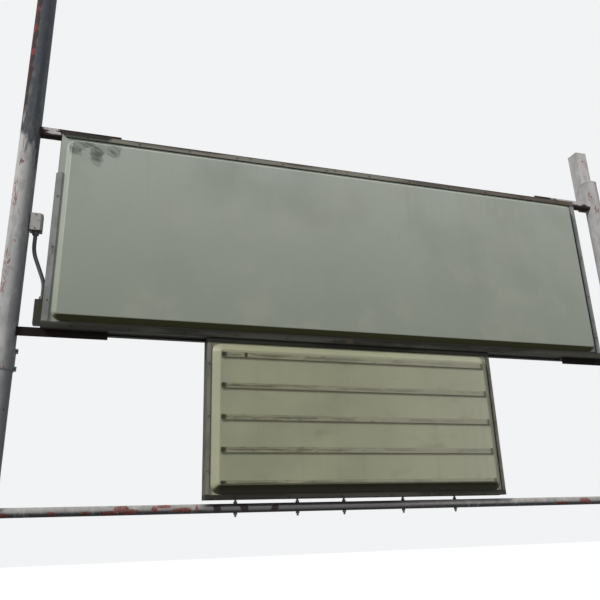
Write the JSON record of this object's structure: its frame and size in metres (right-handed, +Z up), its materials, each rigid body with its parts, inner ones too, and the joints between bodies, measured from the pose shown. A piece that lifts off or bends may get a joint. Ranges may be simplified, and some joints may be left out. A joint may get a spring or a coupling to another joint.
{
  "type": "two-post roadside cabinet sign with letter board",
  "caption": "Blank double-faced cabinet sign hung between pipe posts on angle arms, with a letter board and a cross pipe beneath.",
  "frame": {"origin": "on the ground, midway between the two posts and in the plane of their centres", "axes": "+X runs along the sign to the right as seen from the front, -Y is the front face, +Z is up"},
  "size_m": [4.4802, 0.4, 4.95],
  "materials": {
    "post_paint": "weathered white enamel over red primer",
    "arm_steel": "rusted dark paint",
    "cabinet_paint": "weathered",
    "retainer_paint": "weathered",
    "upper_face": "aged translucent plastic",
    "lower_face": "yellowed translucent plastic",
    "letter_track": "aged grey plastic",
    "zinc_steel": "dull zinc plate",
    "box_paint": "grey enamel",
    "conduit_jacket": "grey jacket"
  },
  "bodies": {
    "root": {"post_left": "post_paint", "post_right": "post_paint", "post_foot_left": "post_paint", "post_foot_right": "post_paint", "post_sleeve": "post_paint", "post_stub": "post_paint", "cross_pipe": "post_paint", "arm_top_left": "arm_steel", "arm_top_right": "arm_steel", "arm_bottom_left": "arm_steel", "arm_bottom_right": "arm_steel", "upper_rail_top": "cabinet_paint", "upper_rail_bottom": "cabinet_paint", "upper_rail_left": "cabinet_paint", "upper_rail_right": "cabinet_paint", "lower_rail_top": "cabinet_paint", "lower_rail_bottom": "cabinet_paint", "lower_rail_left": "cabinet_paint", "lower_rail_right": "cabinet_paint", "upper_retainer_front_top_left": "retainer_paint", "upper_retainer_front_top_right": "retainer_paint", "upper_retainer_front_bottom_left": "retainer_paint", "upper_retainer_front_bottom_right": "retainer_paint", "upper_retainer_front_left": "retainer_paint", "upper_retainer_front_right": "retainer_paint", "upper_retainer_back_top_left": "retainer_paint", "upper_retainer_back_top_right": "retainer_paint", "upper_retainer_back_bottom_left": "retainer_paint", "upper_retainer_back_bottom_right": "retainer_paint", "upper_retainer_back_left": "retainer_paint", "upper_retainer_back_right": "retainer_paint", "lower_retainer_front_top": "retainer_paint", "lower_retainer_front_bottom": "retainer_paint", "lower_retainer_front_left": "retainer_paint", "lower_retainer_front_right": "retainer_paint", "lower_retainer_back_top": "retainer_paint", "lower_retainer_back_bottom": "retainer_paint", "lower_retainer_back_left": "retainer_paint", "lower_retainer_back_right": "retainer_paint", "upper_pan_front": "upper_face", "upper_pan_back": "upper_face", "lower_pan_front": "lower_face", "lower_pan_back": "lower_face", "track_strips_front": "letter_track", "track_strips_back": "letter_track", "track_ribs_front": "letter_track", "track_ribs_back": "letter_track", "track_lips_front": "letter_track", "track_lips_back": "letter_track", "pipe_bolts": "zinc_steel", "junction_box": "box_paint", "junction_box_cover": "box_paint", "entry_box": "box_paint", "conduit": "conduit_jacket"}
  },
  "joints": []
}
